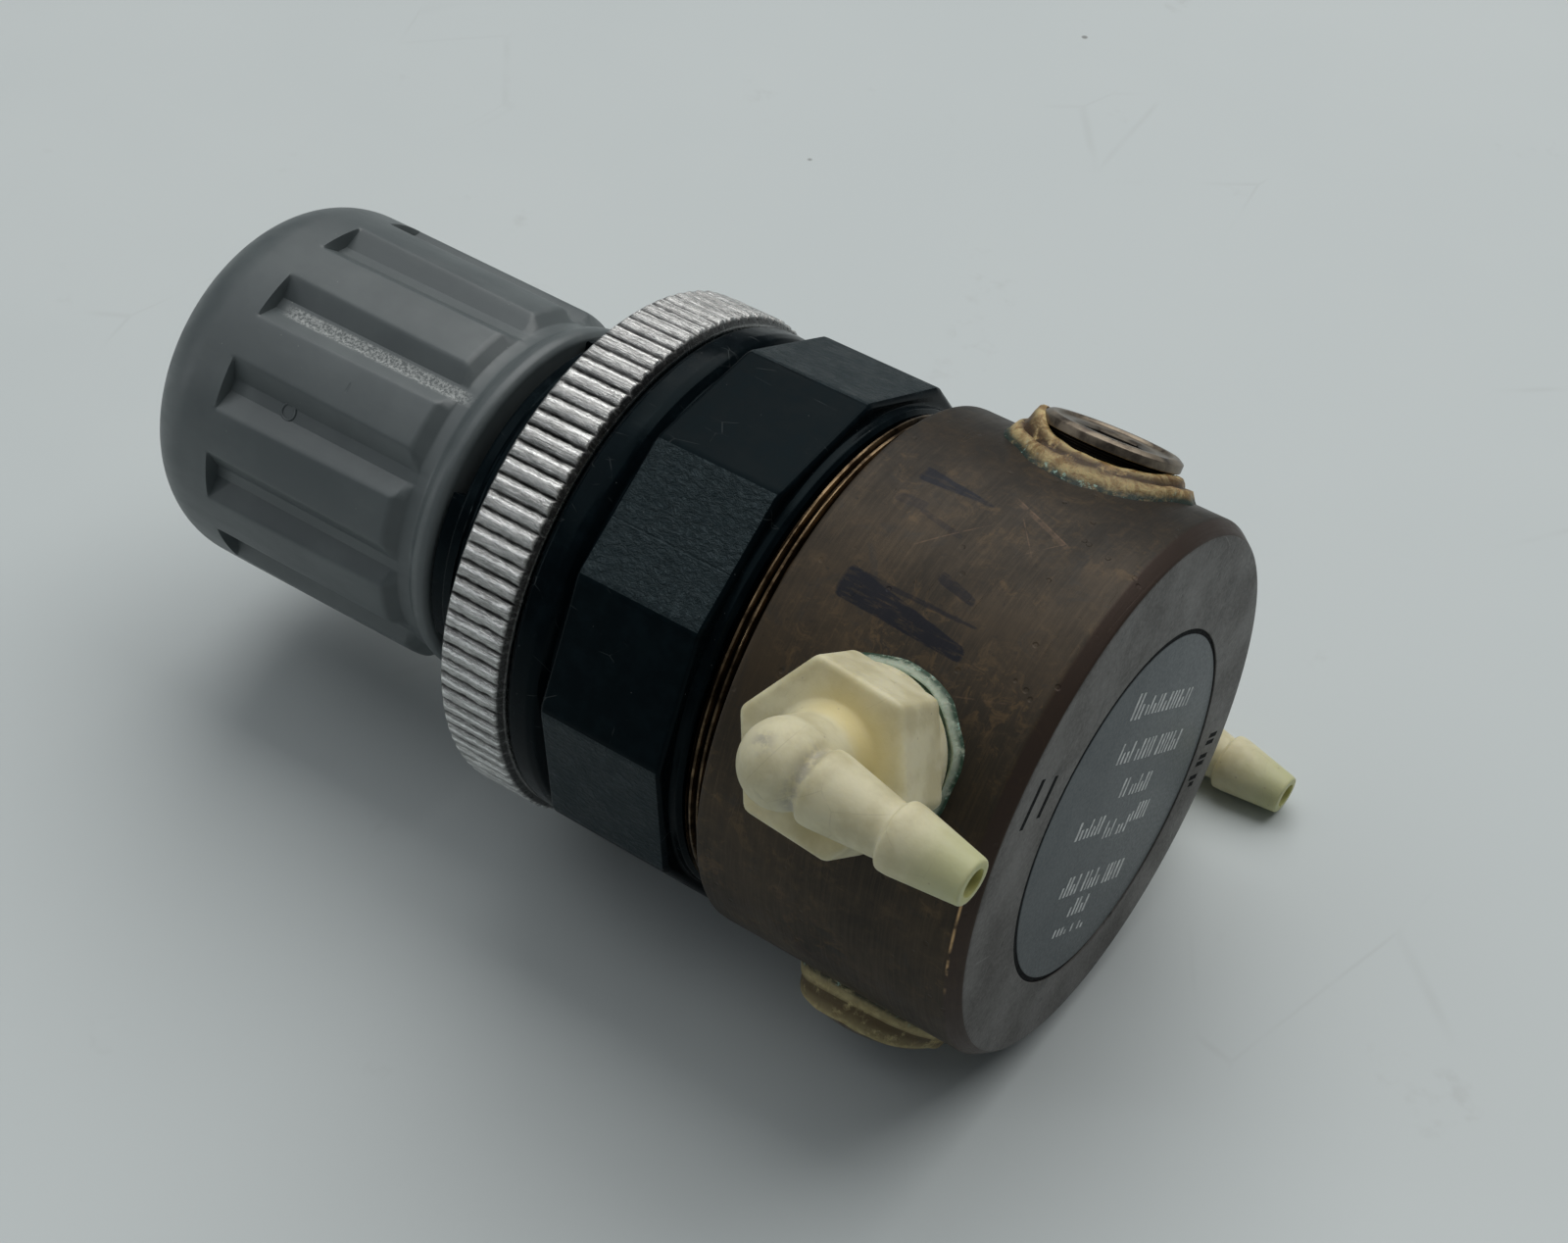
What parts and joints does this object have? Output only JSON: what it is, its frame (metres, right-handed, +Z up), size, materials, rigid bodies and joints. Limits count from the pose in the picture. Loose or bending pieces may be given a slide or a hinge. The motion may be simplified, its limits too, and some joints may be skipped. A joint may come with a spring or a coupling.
{
  "type": "air pressure regulator",
  "caption": "Miniature spring-loaded diaphragm relief regulator with hose-barb elbows, plugged gauge ports, knurled panel nut and fluted push-lock knob.",
  "frame": {"origin": "on the main axis, in the plane where the bonnet's collar seats against a panel", "axes": "+X along the main axis to the closed labelled end, -X to the knob, +Z up with the object lying on its side, inlet elbow towards -Y"},
  "size_m": [0.0832, 0.0582, 0.0437],
  "materials": {
    "bronze_body": "brown patina, brushed",
    "label_plate": "satin dark blue-grey print",
    "nylon_inlet": "aged cream nylon",
    "nylon_outlet": "aged cream nylon",
    "green_sealant": "dried thread sealant, green-stained",
    "plug_bronze": "dull bronze",
    "tan_sealant": "dried tan thread sealant",
    "bonnet_black": "moulded black, alternate flats grained",
    "nut_metal": "bright knurled",
    "knob_grey": "satin dark grey",
    "steel": "plated",
    "washer_plastic": "plain",
    "zinc": "die-cast",
    "spring_steel": "wound wire",
    "rubber_black": "smooth",
    "seat_brass": "machined"
  },
  "bodies": {
    "housing": {"valve_body": "bronze_body", "label_disc": "label_plate", "inlet_elbow": "nylon_inlet", "outlet_elbow": "nylon_outlet", "inlet_seal_ring": "green_sealant", "outlet_seal_ring": "green_sealant", "upper_gauge_plug": "plug_bronze", "lower_gauge_plug": "plug_bronze", "upper_plug_sealant": "tan_sealant", "lower_plug_sealant": "tan_sealant", "bonnet": "bonnet_black", "relief_seat": "seat_brass", "seat_o_ring": "rubber_black", "clamp_ring": "washer_plastic", "thrust_washer": "washer_plastic"},
    "screw": {"adjusting_screw": "steel", "screw_clip": "steel", "knob_stop_ring": "steel"},
    "knob": {"adjusting_knob": "knob_grey"},
    "spring_carrier": {"spring_nut": "zinc", "range_spring": "spring_steel"},
    "diaphragm_stack": {"diaphragm_plate": "zinc", "diaphragm": "rubber_black", "valve_holder": "seat_brass", "valve_pad": "rubber_black"},
    "ring_nut": {"panel_nut": "nut_metal"}
  },
  "joints": [
    {"name": "knob_turn", "type": "hinge", "parent": "housing", "child": "screw", "pos_m": [0, 0, 0], "axis": [1, 0, 0], "range_deg": [-360, 1080]},
    {"name": "knob_pull", "type": "slide", "parent": "screw", "child": "knob", "axis": [-1, 0, 0], "range_m": [0, 0.0025]},
    {"name": "spring_nut_travel", "type": "slide", "parent": "housing", "child": "spring_carrier", "axis": [1, 0, 0], "range_m": [-0.00125, 0.00375], "deforming": ["range_spring"]},
    {"name": "diaphragm_lift", "type": "slide", "parent": "housing", "child": "diaphragm_stack", "axis": [-1, 0, 0], "range_m": [0, 0.0008], "stiffness_N_per_m": 5000, "springref_m": -0.001, "deforming": ["diaphragm", "range_spring"]},
    {"name": "panel_nut_travel", "type": "slide", "parent": "housing", "child": "ring_nut", "axis": [-1, 0, 0], "range_m": [0, 0.0045]}
  ],
  "couplings": [
    {"joint": "spring_nut_travel", "follows": "knob_turn", "m_per_rad": 0.00019894}
  ]
}
